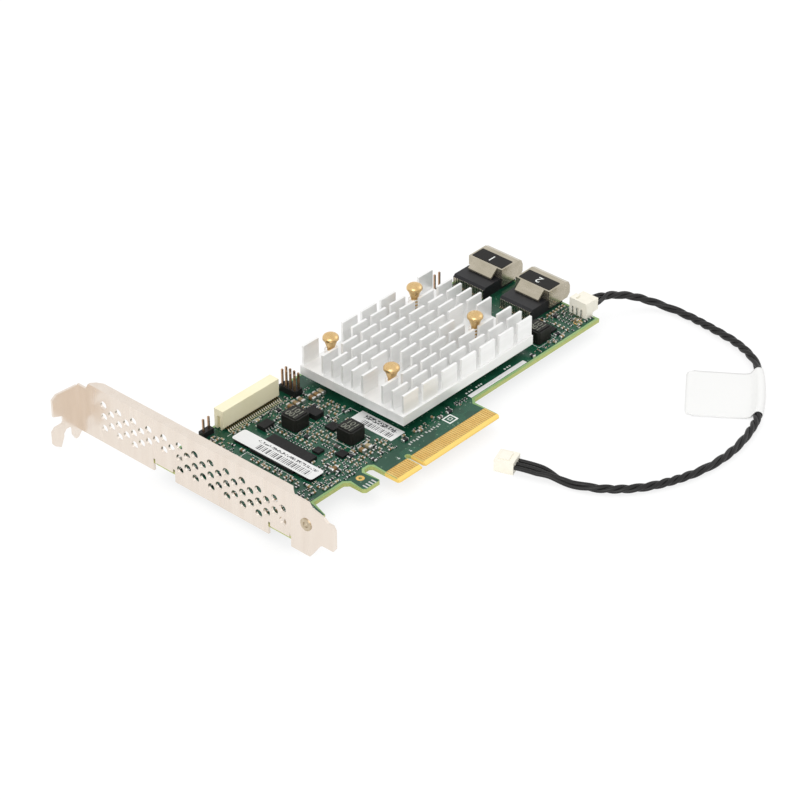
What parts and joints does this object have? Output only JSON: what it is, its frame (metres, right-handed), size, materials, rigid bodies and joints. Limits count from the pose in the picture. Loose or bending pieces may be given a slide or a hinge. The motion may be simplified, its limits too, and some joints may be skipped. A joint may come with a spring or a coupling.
{
  "type": "raid controller card",
  "caption": "Low green storage controller card with a tall vented bracket, a pin-fin heatsink, metal-caged ports at the far end and a wired lead.",
  "frame": {"origin": "centre of the key notch at the tips of the edge contacts, half-way through the board", "axes": "+X from the bracket to the far end along the contact edge, +Y away from the slot, +Z out of the component side"},
  "size_m": [0.2109, 0.1766, 0.0243],
  "materials": {
    "board": "glossy green solder mask",
    "gold": "gold plated",
    "bracket_steel": "satin plated steel",
    "cage_metal": "satin tin plate",
    "tinned_leads": "tinned",
    "brass": "polished",
    "heatsink_aluminium": "matte as extruded",
    "chip_lid": "satin",
    "chip_carrier": "matte green laminate",
    "pad_grey": "matte",
    "chip_black": "moulded epoxy",
    "coil_black": "matte ferrite",
    "connector_black": "matte moulded",
    "connector_cream": "satin moulded",
    "connector_white": "satin moulded",
    "label_white": "matte paper",
    "label_black": "satin film",
    "capacitor_tan": "fired ceramic",
    "resistor_black": "satin glass coat",
    "lead_black": "satin insulation"
  },
  "bodies": {
    "root": {"printed_board": "board", "edge_contacts": "gold", "black_header_pins": "gold", "bracket_header_pins": "gold", "sink_header_pins": "gold", "bracket": "bracket_steel", "bracket_screws": "bracket_steel", "pin_springs": "bracket_steel", "port_1_cage": "cage_metal", "port_2_cage": "cage_metal", "port_1_contacts": "tinned_leads", "port_2_contacts": "tinned_leads", "slot_connector_leads": "tinned_leads", "flash_chip_leads": "tinned_leads", "small_outline_chip_leads": "tinned_leads", "lead_socket_pins": "tinned_leads", "bracket_eyelet": "brass", "heatsink_pins": "brass", "heatsink": "heatsink_aluminium", "controller_chip_lid": "chip_lid", "controller_chip_carrier": "chip_carrier", "thermal_pad": "pad_grey", "memory_chips": "chip_black", "flash_chip": "chip_black", "interface_chips": "chip_black", "small_outline_chip": "chip_black", "regulator_chips": "chip_black", "power_switch": "chip_black", "power_coil_1": "coil_black", "power_coil_2": "coil_black", "power_coil_3": "coil_black", "port_1_housing": "connector_black", "port_2_housing": "connector_black", "black_header_base": "connector_black", "bracket_header_base": "connector_black", "sink_header_base": "connector_black", "slot_connector_housing": "connector_cream", "lead_socket": "connector_white", "lead_plug_near": "connector_white", "lead_plug_far": "connector_white", "long_label": "label_white", "short_label": "label_white", "edge_label": "label_white", "lead_flag": "label_white", "port_1_label": "label_black", "port_2_label": "label_black", "bulk_capacitors": "capacitor_tan", "small_capacitors": "capacitor_tan", "underside_capacitors": "capacitor_tan", "chip_resistors": "resistor_black", "lead": "lead_black"}
  },
  "joints": []
}
